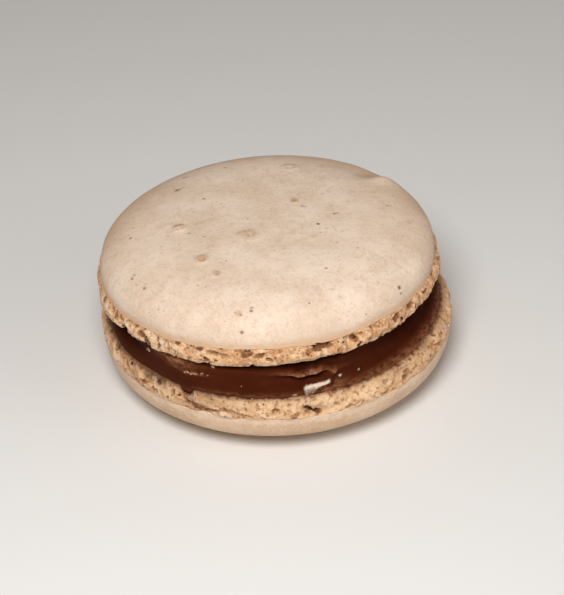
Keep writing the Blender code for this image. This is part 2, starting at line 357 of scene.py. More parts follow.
# Broken blisters: x, y, radius and height, each a low ring round a sunk middle
UPPER_CRATERS = (
    (-2.0, -5.2, 1.35, 0.3), (-11.5, -2.3, 0.75, 0.22), (-8.5, -10.4, 0.8, 0.19), (-6.6, -13.8, 0.55, 0.12),
    (3.7, 13.2, 1.1, 0.19), (4.0, 3.2, 0.55, 0.07), (-1.9, -5.4, 0.45, 0.1),
)
# Tan middles, and dark flecks with painted shade among them, as x, y, radius in mm and strength
UPPER_SPOTS = (
    (-8.5, -10.3, 0.85, 0.75), (4.0, 3.2, 0.55, 0.95), (-2.3, -4.9, 1.2, 0.35), (-6.5, -13.7, 0.55, 0.5),
    (-3.9, -20.7, 0.5, 0.6), (-11.7, -1.7, 0.9, 0.3), (6.3, -6.5, 0.5, 0.3), (19.3, -1.4, 0.4, 0.3),
    (14.2, 11.4, 1.5, 0.4),
)
UPPER_FLECKS = (
    # The first six are painted shade on the back rims of broken blisters; the rest are flecks of almond skin
    (-2.0, -4.5, 0.85, 0.24), (-11.5, -1.6, 0.7, 0.3), (-6.6, -13.6, 0.5, 0.3), (3.7, 14.0, 1.1, 0.3),
    (-8.5, -9.9, 0.6, 0.24), (-3.5, -4.6, 0.45, 0.3),
    (-12.1, 9.1, 0.36, 0.8), (-11.6, 9.3, 0.24, 0.6), (-8.3, 5.3, 0.24, 0.75), (-11.2, 13.6, 0.34, 0.6),
    (-10.8, 13.7, 0.28, 0.5), (-5.4, 15.2, 0.3, 0.55), (-18.2, -2.1, 0.26, 0.75), (-17.8, -10.9, 0.26, 0.75),
    (-17.5, -10.5, 0.2, 0.6), (-16.1, -13.4, 0.26, 0.7), (-17.2, -12.3, 0.16, 0.5), (7.0, -3.3, 0.26, 0.95),
    (9.3, -0.7, 0.24, 0.7), (9.7, -0.5, 0.18, 0.55), (7.6, -13.7, 0.26, 0.6), (17.0, -14.1, 0.3, 0.95),
    (17.2, -14.3, 0.2, 0.8), (5.0, 1.6, 0.28, 0.55), (5.4, 1.4, 0.2, 0.55), (-3.6, -22.35, 0.24, 0.9),
    (-2.3, -20.5, 0.24, 0.8), (-2.2, -20.1, 0.2, 0.7), (-3.6, -20.9, 0.16, 0.8), (-4.3, -20.6, 0.14, 0.6),
    (-12.0, -1.4, 0.4, 0.45), (-11.4, -1.2, 0.34, 0.45), (-2.9, -4.3, 0.4, 0.4), (-2.1, -3.9, 0.34, 0.35),
    (-5.9, 3.4, 0.2, 0.5), (-5.6, 2.6, 0.2, 0.45), (-2.4, -1.1, 0.2, 0.45), (16.6, 2.0, 0.24, 0.55),
    (17.0, 2.1, 0.2, 0.5), (12.0, -9.0, 0.2, 0.5), (-14.0, -6.0, 0.2, 0.45), (1.0, -9.4, 0.18, 0.45),
)
upper_skin = place_piece("upper_skin", skin_mesh(
    "upper_skin", UPPER_RIM_RADIUS, UPPER_CAP_HEIGHT, 0.30, 52.0, 0.0, 0.0,
    UPPER_MARKS, UPPER_CRATERS, UPPER_SPOTS, UPPER_FLECKS,
), upper_place)
lower_skin = place_piece("lower_skin", skin_mesh(
    "lower_skin", LOWER_RIM_RADIUS, LOWER_CAP_HEIGHT, 0.12, 75.0, 7.0, REST_FLAT_DEPTH,
), lower_place)

# %% [markdown]
# ## Chips and hollows of the feet
# Where a large bubble burst, a foot has a ragged hollow, and where the foam tore, chips of it stand out. The
# ones that show are placed by name: each is a short line on the surface with a width, like the path of a
# thumb pressed into dough, and the foam below is cut or raised along it.

# %% Lines for hollows and chips
LINE_STEP = 1.5


def line_object(name, surface, lines, turned, sink):
    """Loose edges along a foot: azimuth and level over the rim of both ends, half width and depth."""
    points = []
    edges = []
    widths = []
    for first, first_level, last, last_level, width, depth in lines:
        if turned:
            first, last = -first, -last
        steps = 1 + int(abs(last - first) / LINE_STEP)
        for step in range(steps + 1):
            share = step / steps
            outward = direction(first + (last - first) * share)
            level = first_level + (last_level - first_level) * share
            spot = surface.ray_cast(outward * 0.04 + Vector((0.0, 0.0, level * MM)), -outward)[0]
            points.append(spot - outward * (depth + sink) * MM)
            if step:
                edges.append((len(points) - 2, len(points) - 1))
                widths.append(width * MM)
    return bpy.data.objects.new(name, new_mesh(name, points, edges, [], "EDGE", width=widths))


# First and last azimuth and level, half width, and how deep the line lies under the surface
UPPER_HOLLOWS = (
    (-75.6, -0.78, -73.4, -0.72, 0.46, 0.02), (-73.2, -0.8, -71.6, -0.9, 0.38, 0.1),
    (-71.4, -0.95, -70.0, -1.05, 0.24, 0.0), (-78.5, -1.3, -78.1, -1.38, 0.16, 0.08),
    (-76.6, -1.05, -74.6, -1.15, 0.26, -0.06), (-62.4, -1.1, -61.0, -1.3, 0.36, -0.14),
    (-53.9, -0.46, -53.7, -0.48, 0.17, 0.06), (-52.7, -0.68, -52.5, -0.7, 0.11, 0.06),
    (-56.7, -1.85, -56.3, -1.8, 0.17, 0.04), (-44.6, -1.05, -42.9, -0.9, 0.38, -0.04),
    (-40.8, -0.64, -40.4, -0.6, 0.16, 0.08), (-36.2, -0.9, -34.5, -0.8, 0.3, 0.0),
    (-114.3, -0.5, -112.9, -0.46, 0.29, 0.08), (-117.7, -0.86, -117.5, -0.85, 0.14, 0.08),
    (-110.4, -0.62, -107.6, -0.78, 0.24, -0.06), (-106.6, -0.86, -104.2, -0.94, 0.22, -0.04),
    (-99.0, -0.85, -97.0, -0.72, 0.38, -0.04), (-98.4, -0.55, -97.4, -0.5, 0.24, 0.2),
    (-94.6, -0.98, -93.0, -0.84, 0.28, -0.06), (-94.4, -1.2, -94.2, -1.2, 0.14, 0.06),
    (-88.7, -1.28, -88.5, -1.3, 0.14, 0.08), (-87.8, -0.48, -87.6, -0.48, 0.15, 0.05),
    (-116.6, -0.38, -115.6, -0.34, 0.19, 0.02), (-121.7, -0.38, -120.9, -0.36, 0.2, 0.02),
    (-142.9, -0.24, -142.6, -0.22, 0.14, 0.07), (-130.2, -0.64, -130.0, -0.64, 0.1, 0.05),
    (-124.3, -0.68, -124.1, -0.66, 0.1, 0.05), (-122.3, -0.58, -122.1, -0.58, 0.1, 0.05),
    (-135.3, -0.3, -134.8, -0.28, 0.14, 0.05), (-147.6, -0.55, -146.4, -0.6, 0.28, 0.0),
    (-152.8, -0.4, -152.0, -0.46, 0.22, 0.0), (-161.2, -0.6, -160.4, -0.7, 0.26, 0.0),
    (-136.6, -1.0, -135.6, -1.1, 0.3, 0.1), (-126.4, -0.36, -125.8, -0.34, 0.2, 0.0),
    (-145.6, -0.7, -146.2, -1.6, 0.3, 0.12), (-146.2, -1.7, -146.8, -2.6, 0.66, 0.45),
    (-134.6, -0.85, -133.8, -1.6, 0.3, 0.12), (-136.6, -2.2, -133.6, -2.3, 0.66, 0.45),
    (-141.9, -0.1, -141.6, -0.05, 0.16, 0.05), (-139.2, -0.3, -138.4, -0.35, 0.2, 0.1),
    (-128.9, -0.9, -128.6, -2.3, 0.2, 0.1), (-150.6, -0.5, -150.2, -1.2, 0.18, 0.05),
    (-41.6, -1.7, -40.6, -2.6, 0.36, 0.25), (-52.0, -2.05, -51.2, -2.6, 0.3, 0.25),
    (-60.6, -2.15, -59.8, -2.7, 0.28, 0.25), (-33.0, -1.6, -32.0, -2.6, 0.32, 0.25),
    (-69.0, -2.25, -68.4, -2.7, 0.22, 0.2), (-111.5, -1.75, -110.6, -2.6, 0.3, 0.2),
    (-66.0, -0.5, -65.4, -0.5, 0.14, 0.05), (-48.6, -1.3, -48.2, -1.25, 0.16, 0.03),
    (-27.0, -0.9, -25.0, -0.8, 0.24, 0.05), (-101.6, -0.42, -101.3, -0.42, 0.12, 0.06),
)
UPPER_CHIPS = (
    (-143.0, -0.55, -138.4, -1.75, 0.62, 0.34), (-141.4, -0.35, -140.4, -0.75, 0.34, 0.06),
    (-137.6, -0.75, -137.2, -1.45, 0.34, 0.18), (-131.9, -0.7, -130.8, -1.9, 0.6, 0.36),
    (-127.4, -0.8, -126.2, -1.8, 0.52, 0.28), (-122.4, -0.72, -120.6, -1.6, 0.46, 0.26),
    (-135.7, -1.2, -134.6, -1.65, 0.26, 0.14), (-147.6, -0.7, -147.8, -1.6, 0.34, 0.16),
    (-157.0, -0.8, -155.8, -1.4, 0.32, 0.08), (-163.0, -0.7, -162.0, -1.2, 0.38, 0.08),
    (-170.0, -0.9, -168.6, -1.3, 0.34, 0.1), (-131.0, -2.15, -124.0, -2.42, 0.2, -0.1),
    (-124.0, -2.42, -118.5, -2.66, 0.17, -0.08), (-45.6, -2.05, -44.0, -2.25, 0.26, -0.04),
    (-56.5, -2.2, -54.5, -2.3, 0.24, 0.0), (-49.5, -1.95, -48.0, -2.1, 0.24, 0.02),
    (-157.0, -0.6, -151.8, -1.1, 0.2, -0.06), (-151.8, -1.1, -148.6, -2.3, 0.24, -0.04),
)
LOWER_HOLLOWS = (
    (-82.8, -1.66, -80.6, -1.22, 0.24, 0.08), (-80.8, -1.22, -78.6, -0.8, 0.38, 0.22),
    (-47.0, -1.3, -44.6, -1.42, 0.3, -0.04), (-46.0, -1.66, -44.8, -1.74, 0.24, 0.0),
    (-43.6, -1.1, -43.0, -1.05, 0.14, 0.02), (-42.8, -3.0, -42.4, -3.0, 0.2, 0.06),
    (-40.5, -3.2, -40.1, -3.2, 0.18, 0.02), (-37.1, -3.08, -36.9, -3.08, 0.14, 0.06),
    (-27.8, -3.1, -27.0, -3.05, 0.24, 0.1), (-29.0, -2.38, -28.8, -2.38, 0.14, 0.05),
    (-26.8, -1.64, -26.4, -1.64, 0.18, 0.04), (-48.2, -3.14, -47.4, -3.12, 0.24, 0.0),
    (-66.8, -1.5, -66.6, -1.5, 0.12, 0.06), (-73.2, -1.95, -73.0, -1.95, 0.11, 0.06),
    (-60.0, -0.7, -59.7, -0.7, 0.13, 0.06), (-103.8, -1.0, -103.4, -1.0, 0.16, 0.06),
    (-101.5, -0.52, -101.2, -0.52, 0.14, 0.06), (-97.5, -2.7, -97.3, -2.7, 0.1, 0.05),
    (-96.3, -0.66, -96.1, -0.66, 0.14, 0.06), (-85.8, -1.05, -85.2, -1.0, 0.2, -0.02),
    (-145.6, -2.62, -145.1, -2.6, 0.22, 0.08), (-155.6, -2.86, -154.8, -2.86, 0.24, 0.04),
    (-164.6, -3.0, -163.8, -3.0, 0.26, 0.02), (-132.2, -2.22, -131.6, -2.2, 0.22, 0.08),
    (-134.0, -1.24, -132.6, -1.16, 0.28, 0.06), (-138.8, -1.36, -137.8, -1.3, 0.24, 0.04),
    (-138.0, -2.04, -137.8, -2.04, 0.12, 0.06), (-127.3, -2.9, -126.9, -2.9, 0.15, 0.06),
    (-141.8, -0.92, -141.2, -0.9, 0.2, 0.02), (-127.8, -0.96, -127.5, -0.96, 0.13, 0.05),
    (-122.6, -2.96, -120.2, -2.6, 0.42, 0.02), (-121.6, -2.3, -120.0, -2.32, 0.22, 0.02),
    (-107.2, -3.0, -106.6, -3.0, 0.18, 0.02), (-121.8, -1.96, -119.6, -1.02, 0.15, -0.04),
    (-119.6, -1.02, -118.0, -0.56, 0.17, -0.02), (-118.0, -0.56, -114.1, -0.62, 0.16, -0.02),
    (-114.1, -0.62, -108.0, -1.38, 0.2, 0.0), (-108.0, -1.38, -103.8, -1.02, 0.2, 0.0),
    (-103.8, -1.0, -99.0, -0.72, 0.15, -0.04),
    (-69.6, -0.74, -66.0, -0.8, 0.16, -0.04), (-57.0, -0.66, -54.0, -0.8, 0.16, -0.05),
    (-32.3, -2.3, -31.6, -2.3, 0.16, 0.04), (-34.0, -1.5, -33.2, -1.45, 0.16, 0.0),
)
LOWER_CHIPS = (
    (-102.9, -2.6, -102.7, -2.95, 0.16, 0.1), (-55.2, -2.5, -54.6, -2.7, 0.3, 0.16),
    (-109.0, -0.7, -104.5, -0.5, 0.26, 0.06), (-36.0, -2.55, -34.8, -2.45, 0.26, 0.14),
)
print("hollows:", len(UPPER_HOLLOWS) + len(LOWER_HOLLOWS), "chips:", len(UPPER_CHIPS) + len(LOWER_CHIPS))

# %% [markdown]
# ## The foot as foam
# The foot is foam that boiled out sideways under the skin and set: lumps, burst bubbles that go in under the
# surface, and a torn hem. A displaced surface can't make a bubble with an overhang, so Geometry Nodes fill a
# volume instead. Each point of space asks how far it is from the solid's surface, then lumps are added and
# bubbles taken away, and the volume is turned back into a mesh.

# %% Tree of the foam
FOAM_SIZES = {
    "Voxel": 0.155, "Inner radius": 20.4, "Reach": 25.2, "Top": 0.35, "Bottom": -4.2,
    "Lump size": 1.7, "Lump height": 0.13, "Grain size": 0.45, "Grain height": 0.075,
    "Hem tear": 0.16, "Tear size": 0.75, "Crag size": 1.15, "Crag height": 0.34,
    "Cavity size": 1.15, "Cavity depth": 0.46, "Pore spacing": 0.85, "Pore radius": 0.20,
    "Bubble depth": 1.1, "Skin inset": 0.24, "Hem height": -2.3, "Cream radius": 0.0,
}


def foam_tree():
    inputs = [(name, "Float", value * MM) for name, value in FOAM_SIZES.items()]
    inputs += [(name, "Vector", None) for name in ("Seed", "Crag side", "Cream lean")]
    inputs += [(name, "Object", None) for name in ("Hollows", "Chips")]
    tree, size = new_group("burst foam", inputs + [("Material", "Material", None)])
    here = add(tree, "GeometryNodeInputPosition")
    moved = vector(tree, "ADD", here, size["Seed"])
    apart = add(tree, "ShaderNodeSeparateXYZ", {0: here}).outputs
    flat = add(tree, "ShaderNodeCombineXYZ", {0: apart["X"], 1: apart["Y"], 2: 0.0})
    radius = vector(tree, "LENGTH", flat)
    side = vector(tree, "NORMALIZE", flat)

    # Distance to the solid's surface, negative inside it
    near = add(tree, "GeometryNodeProximity", {"Geometry": size["Geometry"], "Sample Position": here}).outputs
    outward = add(tree, "GeometryNodeSampleNearestSurface", {
        "Mesh": size["Geometry"], "Value": add(tree, "GeometryNodeInputNormal"), "Sample Position": here,
    }, data_type="FLOAT_VECTOR")
    facing = vector(tree, "DOT_PRODUCT", vector(tree, "SUBTRACT", here, near["Position"]), outward)
    plain = calc(tree, "MULTIPLY", near["Distance"], calc(tree, "SIGN", facing))

    def per_size(width):
        return calc(tree, "DIVIDE", 1.0, size[width])

    def noise_of(width, height, detail):
        """Noise of that size, from minus to plus that height."""
        value = clouds(tree, moved, per_size(width), detail, Roughness=0.6)
        return calc(tree, "MULTIPLY", calc(tree, "MULTIPLY_ADD", value, 2.6, -1.3), size[height])

    # Lumps and grain
    shape = calc(tree, "ADD", plain, noise_of("Lump size", "Lump height", 2.0))
    shape = calc(tree, "ADD", shape, noise_of("Grain size", "Grain height", 2.0))

    # The hem is torn finely all round, and on one side the whole foot is craggy
    low = ramp(tree, apart["Z"], -1.3 * MM, size["Hem height"], interpolation_type="SMOOTHSTEP")
    torn = calc(tree, "MULTIPLY", noise_of("Tear size", "Hem tear", 3.0), low)
    shape = calc(tree, "ADD", shape, torn)
    towards = vector(tree, "DOT_PRODUCT", side, size["Crag side"])
    craggy = ramp(tree, towards, 0.72, 0.93, interpolation_type="SMOOTHSTEP")
    crags = calc(tree, "MULTIPLY", noise_of("Crag size", "Crag height", 2.0), craggy)
    shape = calc(tree, "ADD", shape, crags)

    # A wobble of a few tenths of a millimetre gives hollows and chips ragged outlines
    wobble = clouds(tree, moved, 1300.0, 2.0, Roughness=0.6).outputs[1]
    centred = vector(tree, "SUBTRACT", wobble, (0.5, 0.5, 0.5))
    shaken = vector(tree, "MULTIPLY_ADD", centred, (0.9 * MM, 0.9 * MM, 0.9 * MM), here)

    def beyond_lines(name):
        """How far a point is from the body round the nearest line, negative inside it."""
        lines = add(tree, "GeometryNodeObjectInfo", {"Object": size[name]}).outputs["Geometry"]
        asked = {"Geometry": lines, "Sample Position": shaken}
        reach = add(tree, "GeometryNodeProximity", asked, target_element="EDGES").outputs["Distance"]
        which = add(tree, "GeometryNodeSampleNearest", asked, domain="EDGE")
        width = add(tree, "GeometryNodeInputNamedAttribute", {"Name": "width"}, data_type="FLOAT")
        there = add(tree, "GeometryNodeSampleIndex", {
            "Geometry": lines, "Value": width, "Index": which,
        }, data_type="FLOAT", domain="EDGE")
        return calc(tree, "SUBTRACT", reach, there)

    beyond_chips = beyond_lines("Chips")
    shape = calc(tree, "SMOOTH_MIN", shape, beyond_chips, 0.10 * MM)

    # Cavities with no round form, cut where a noise is high, and round pores, cells of a Voronoi texture
    bent = vector(tree, "ADD", shaken, size["Seed"])
    cavity = clouds(tree, bent, per_size("Cavity size"), 1.0, Roughness=0.5)
    cavities = calc(tree, "ADD", plain, ramp(tree, cavity, 0.58, 0.74, size["Cavity depth"]))
    cell = add(tree, "ShaderNodeTexVoronoi", {"Vector": bent, "Scale": per_size("Pore spacing")}).outputs
    chance = add(tree, "ShaderNodeSeparateXYZ", {0: cell["Color"]}).outputs
    rare = ramp(tree, chance[0], 0.45, 1.0, size["Pore radius"])
    pores = calc(tree, "SUBTRACT", rare, calc(tree, "MULTIPLY", cell["Distance"], size["Pore spacing"]))
    hollows = calc(tree, "MULTIPLY", beyond_lines("Hollows"), -1.0)
    burst = calc(tree, "MAXIMUM", pores, hollows)
    holes = calc(tree, "MINIMUM", burst, calc(tree, "ADD", plain, size["Bubble depth"]))
    shape = calc(tree, "SMOOTH_MAX", shape, cavities, 0.08 * MM)
    shape = calc(tree, "SMOOTH_MAX", shape, holes, 0.05 * MM)

    # Under the skin the foam draws back, and the ring has an inner wall and a top
    under = ramp(tree, apart["Z"], -0.30 * MM, 0.2 * MM, size["Skin inset"], interpolation_type="SMOOTHSTEP")
    shape = calc(tree, "ADD", shape, under)
    inner = calc(tree, "SUBTRACT", size["Inner radius"], radius)
    above = calc(tree, "SUBTRACT", apart["Z"], size["Top"])
    shape = calc(tree, "MAXIMUM", shape, calc(tree, "MAXIMUM", inner, above))

    # Solid where the value passes one half, with a slope a few voxels wide
    slope = calc(tree, "DIVIDE", shape, calc(tree, "MULTIPLY", size["Voxel"], -4.0))
    value = calc(tree, "ADD", slope, 0.5, use_clamp=True)
    minus = calc(tree, "MULTIPLY", size["Reach"], -1.0)
    high = calc(tree, "ADD", size["Top"], 0.3 * MM)
    across = calc(tree, "DIVIDE", calc(tree, "MULTIPLY", size["Reach"], 2.0), size["Voxel"])
    upward = calc(tree, "DIVIDE", calc(tree, "SUBTRACT", high, size["Bottom"]), size["Voxel"])
    cube = add(tree, "GeometryNodeVolumeCube", {
        "Density": value, "Background": 0.0,
        "Min": add(tree, "ShaderNodeCombineXYZ", {0: minus, 1: minus, 2: size["Bottom"]}),
        "Max": add(tree, "ShaderNodeCombineXYZ", {0: size["Reach"], 1: size["Reach"], 2: high}),
        "Resolution X": across, "Resolution Y": across, "Resolution Z": upward,
    })
    foam = add(tree, "GeometryNodeVolumeToMesh", {"Volume": cube, "Threshold": 0.5}, resolution_mode="GRID")
    kept = add(tree, "GeometryNodeSetShadeSmooth", {"Geometry": foam})

    # For the paint: depth under the plain form, height over the rim, how near the cream, a bubble and a chip
    # a point lies, in mm
    edge = calc(tree, "ADD", size["Cream radius"], vector(tree, "DOT_PRODUCT", side, size["Cream lean"]))
    soaked = calc(tree, "MULTIPLY_ADD", craggy, 0.16 * MM, edge)
    covered = calc(tree, "SUBTRACT", soaked, radius)
    for label, field, factor in (
        ("depth", plain, -1000.0), ("level", apart["Z"], 1000.0), ("cream", covered, 1000.0),
        ("burst", burst, 1000.0), ("chip", beyond_chips, -1000.0),
    ):
        kept = add(tree, "GeometryNodeStoreNamedAttribute", {
            "Geometry": kept, "Name": label, "Value": calc(tree, "MULTIPLY", field, factor),
        }, data_type="FLOAT", domain="POINT")
    real = add(tree, "GeometryNodeRealizeInstances", {"Geometry": kept})
    made = add(tree, "GeometryNodeSetMaterial", {"Geometry": real, "Material": size["Material"]})
    add(tree, "NodeGroupOutput", {0: made})
    return tree


foam = foam_tree()
print("foam tree:", len(foam.nodes), "nodes")

# %% [markdown]
# ## Baked foam: the foot's finish
# Meringue that met the hot air directly browns, so the foot is a golden tan instead of the skin's pale beige.
# It is matt and open-pored: the eye sees pale rounded edges, brown hollows, pinholes, and flecks of almond
# skin. The depth attribute tells how far a point lies below the foot's plain form, so the hollows can be
# given painted shade over their baked brown.

# %% Material: baked foam
def baked_foam(label, golden, browned, sunk, torn_from, inside, toasted):
    """The foot's material. Painted shade darkens it below a given depth, and it is torn and paler from a
    height downwards.
    """
    material, tree, shader, place = new_paint(label)

    # Browned patches of two millimetres, and mottling of half a millimetre, brown and pale. On the lower
    # foot the right side is browner still, as painted shade
    patched = clouds(tree, place, 460.0, 3.0)
    mottle = clouds(tree, place, 1700.0, 4.0, Roughness=0.68)
    across = add(tree, "ShaderNodeSeparateXYZ", {0: place}).outputs["X"]
    colour = layers(
        tree, golden, (patched, 0.38, 0.64, 1.0, browned), (mottle, 0.48, 0.33, 0.85, "#94603A"),
        (mottle, 0.52, 0.70, 0.90, "#F3D6B2"), (across, 10.0 * MM, 20.0 * MM, toasted, "#B07E52"),
    )

    # Chips dried in the air instead of browning
    dried = ramp(tree, felt(tree, "chip"), -0.10, 0.02, 0.45)
    paler = calc(tree, "MULTIPLY", dried, ramp(tree, mottle, 0.36, 0.54))
    colour = blend(tree, paler, colour, "#E9D3B8")

    # Hollows: brown within a third of a millimetre, partly baked colour and partly painted shade, and dark
    # brown painted shade below that. The inside of a burst bubble is brown all over, with painted shade
    # darker in its middle
    depth = calc(tree, "SUBTRACT", felt(tree, "depth"), sunk)
    bubble = calc(tree, "ADD", felt(tree, "burst"), calc(tree, "MULTIPLY_ADD", mottle, 0.30, -0.15))
    colour = layers(
        tree, colour, (depth, 0.0, 0.28, 0.85, "#96653C"), (depth, 0.30, 0.65, 1.0, inside),
        (bubble, -0.15, 0.01, 0.60, "#8A5832"),
    )
    inward = calc(tree, "MULTIPLY", ramp(tree, bubble, -0.05, 0.01), ramp(tree, depth, 0.06, 0.36, 0.9))
    colour = blend(tree, inward, colour, inside)

    # The torn edge of the hem is paler and greyer
    hem = ramp(tree, felt(tree, "level"), torn_from, torn_from - 0.5)
    torn = calc(tree, "MULTIPLY", hem, ramp(tree, mottle, 0.40, 0.58, 0.60))
    colour = blend(tree, torn, colour, "#DCC7AB")

    # Where the foot meets the cream it is darker: partly cream soaked in, partly painted shade
    reached = calc(tree, "ADD", felt(tree, "cream"), calc(tree, "MULTIPLY_ADD", mottle, 1.6, -0.8))
    colour = layers(
        tree, colour, (reached, -1.00, -0.30, 0.45, "#8A5A38"), (reached, -0.45, 0.05, 0.85, "#54290F"),
    )

    # Pinholes of a tenth of a millimetre, and the larger flecks of almond skin
    for scale, rare, reach, strength, code in (
        (1900.0, 0.50, 0.26, 0.85, "#5C3922"), (900.0, 0.62, 0.17, 0.90, "#4C2C18"),
    ):
        within = dots(tree, place, scale, rare, reach)[0]
        colour = layers(tree, colour, (within, -0.03, 0.06, strength, code))

    # Foam cells too fine for the mesh, two tenths of a millimetre wide
    fine = clouds(tree, place, 4200.0, 2.0)
    bump = add(tree, "ShaderNodeBump", {"Height": fine, "Strength": 0.6, "Distance": 0.10 * MM})
    feed(tree, shader, {"Base Color": colour, "Normal": bump, "Roughness": 0.85, "Specular IOR Level": 0.25})
    return material


upper_foam = baked_foam("baked almond foam", "#E1B890", "#C8976B", 0.06, -2.05, "#7A5034", 0.0)
# The lower foot: lighter colours, painted light where the upper shell shades it, and painted shade on its
# right side
lower_foam = baked_foam("baked almond foam, tray side", "#F2CEA6", "#DCAF82", 0.16, -3.6, "#57321D", 0.35)
print("made:", upper_foam.name, "and", lower_foam.name)

# %% [markdown]
# ## Making the two feet
# The foam tree runs on a merged copy of each shell's solid, in the shell's own upright frame, so the frills
# of the solid stay where they are. Bubbles closed off inside the foam are loose scraps nobody can see, so
# only the largest connected part is kept.

# %% Build the feet
CREAM_RADIUS = 22.75
CREAM_LEAN = 0.70
CREAM_LEAN_AZIMUTH = -110.0


def largest_part(mesh):
    """Drops every connected part but the largest one."""
    work = bmesh.new()
    work.from_mesh(mesh)
    parts = []
    seen = set()
    for start in work.verts:
        if start in seen:
            continue
        seen.add(start)
        part = [start]
        for vertex in part:
            for edge in vertex.link_edges:
                other = edge.other_vert(vertex)
                if other not in seen:
                    seen.add(other)
                    part.append(other)
        parts.append(part)
    parts.sort(key=len)
    bmesh.ops.delete(work, geom=[vertex for part in parts[:-1] for vertex in part], context="VERTS")
    work.to_mesh(mesh)
    work.free()
    print("scraps dropped:", len(parts) - 1)


def foot_piece(name, node, place, hollows, chips, sizes):
    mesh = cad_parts[node].data.copy()
    mesh.transform(place.inverted())
    work = bmesh.new()
    work.from_mesh(mesh)
    bmesh.ops.remove_doubles(work, verts=work.verts, dist=1e-6)
    work.to_mesh(mesh)
    surface = BVHTree.FromBMesh(work)
    work.free()
    mesh.shade_smooth()
    turned = node == "lower_shell"
    made = grow(name, mesh, foam, {
        "Hollows": line_object(name + "_hollows", surface, hollows, turned, 0.10),
        "Chips": line_object(name + "_chips", surface, chips, turned, 0.0),
        "Material": lower_foam if turned else upper_foam, **sizes,
    })
    largest_part(made)
    return place_piece(name, made, place)


upper_foot = foot_piece("upper_foot", "upper_shell", upper_place, UPPER_HOLLOWS, UPPER_CHIPS, {
    "Seed": (0.11, 0.23, 0.07), "Crag side": direction(-150.0), "Crag height": 0.45 * MM,
    "Crag size": 1.5 * MM, "Cavity depth": 0.55 * MM, "Lump height": 0.16 * MM,
})
lower_foot = foot_piece("lower_foot", "lower_shell", lower_place, LOWER_HOLLOWS, LOWER_CHIPS, {
    "Seed": (0.41, 0.05, 0.33), "Crag side": direction(150.0), "Crag height": 0.16 * MM,
    "Inner radius": 21.6 * MM, "Skin inset": 0.10 * MM, "Hem height": -3.0 * MM, "Hem tear": 0.22 * MM,
    "Cream radius": CREAM_RADIUS * MM, "Cream lean": direction(-CREAM_LEAN_AZIMUTH) * CREAM_LEAN * MM,
})

# %% [markdown]
# ## The cream
# Milk chocolate cream is soft when it is piped, and the upper shell presses it out into a layer with a
# smooth, wet wall. Here the wall is upright in front, where it has a fold with a lip of cream under it. On
# the right and on the left it stands back in the shade. Its radius follows an azimuth and a share of the
# wall's height, from the lower shell up, and most of what is on it is a bell-shaped rise of one or both.

# %% Form of the cream's wall
# Azimuths in degrees of what is on the wall: the deepest shade, the hollow and the smear on the left, the gap
# in the lower foot, and the fold and the wet lip in front
SHADE_AZIMUTH = -18.0
HOLLOW_AZIMUTH = -158.0
SMEAR_AZIMUTH = -128.0
GAP_AZIMUTH = -121.2
FOLD_AZIMUTH = -81.0
LIP_AZIMUTH = -78.0
# The wavy line of the fold, as azimuth and share of the height
FOLD_AZIMUTHS = (-95.0, -90.0, -86.0, -84.0, -82.0, -79.6, -76.0, -74.5, -72.0)
FOLD_SHARES = (0.76, 0.75, 0.73, 0.67, 0.68, 0.71, 0.69, 0.66, 0.56)
# Rises in mm, wet patches with a painted highlight, and paler smears, some of them painted highlights low on
# the wall and on the knob, as azimuth, width, share of the height, width and strength. The rises are a knob
# at the end of the fold, two blebs on the rim of the lip, and a smear on the left
WALL_RISES = (
    (-71.9, 0.9, 0.56, 0.07, 0.40), (-70.0, 0.8, 0.35, 0.05, 0.22), (-62.9, 0.7, 0.31, 0.05, 0.18),
    (-125.5, 4.0, 0.86, 0.12, 0.16),
)
WET_PATCHES = (
    (-70.0, 0.75, 0.36, 0.024, 0.8), (-62.9, 0.55, 0.32, 0.022, 0.7), (-85.5, 0.9, 0.12, 0.035, 0.6),
)
SMEARS = (
    (-127.0, 8.5, 0.81, 0.14, 1.0), (-125.0, 3.0, 0.68, 0.09, 0.7), (-118.0, 3.8, 0.61, 0.055, 0.8),
    (-71.9, 1.1, 0.56, 0.07, 0.9), (-101.0, 22.0, 0.13, 0.07, 0.35), (-73.0, 5.0, 0.12, 0.17, 0.9),
)


def bell(value, centre, width):
    return math.exp(-(((value - centre) / width) ** 2))


def ease(value, low, high):
    share = min(max((value - low) / (high - low), 0.0), 1.0)
    return share * share * (3.0 - 2.0 * share)


def patches(degrees, share, table):
    """How strong each patch of a table is at a point of the wall."""
    return [most * bell(degrees, a, wide) * bell(share, s, tall) for a, wide, s, tall, most in table]


def set_back(degrees):
    """How far the wall stands back in the shade, up to 1 on the right."""
    return 1.0 / (1.0 + (((degrees - SHADE_AZIMUTH + 180.0) % 360.0 - 180.0) / 46.0) ** 4)


def notch(degrees):
    """Where a block of cream fills a gap in the lower foot."""
    return ease(abs(degrees - GAP_AZIMUTH), 2.3, 1.5)


def fold_ridge(degrees):
    """Share of the height where the ridge of the fold stands out most."""
    return float(np.interp(degrees, FOLD_AZIMUTHS, FOLD_SHARES))


def lip_crest(degrees):
    """Share of the height where the lip of wet cream under the fold stands out most."""
    return 0.35 + 0.0165 * (degrees - LIP_AZIMUTH)


def gloss_patch(degrees, share):
    """How wet a point of that lip is, from 0 to 1, which also sets its painted highlight: a sharp edge above,
    and fading out below.
    """
    crest = lip_crest(degrees)
    profile = bell(share, crest, 0.040 - 0.012 * ease(degrees, -79.0, -74.5))
    if share < crest:
        profile = max(profile, 0.72 * ease(degrees, -74.8, -79.0) * bell(share, crest, 0.19))
    ragged = 0.45 * noise.noise(Vector((1.1 * degrees, 22.0 * share, 3.0)))
    inside = ease(abs(degrees + 78.2), 5.0, 3.4) * profile
    return min(max(inside * (1.0 + ragged), 0.0), 1.0)


def tail_azimuth(share):
    """Azimuth of the thin ridge that runs down from the left end of the lip."""
    return -82.3 + 2.2 * (0.33 - share)


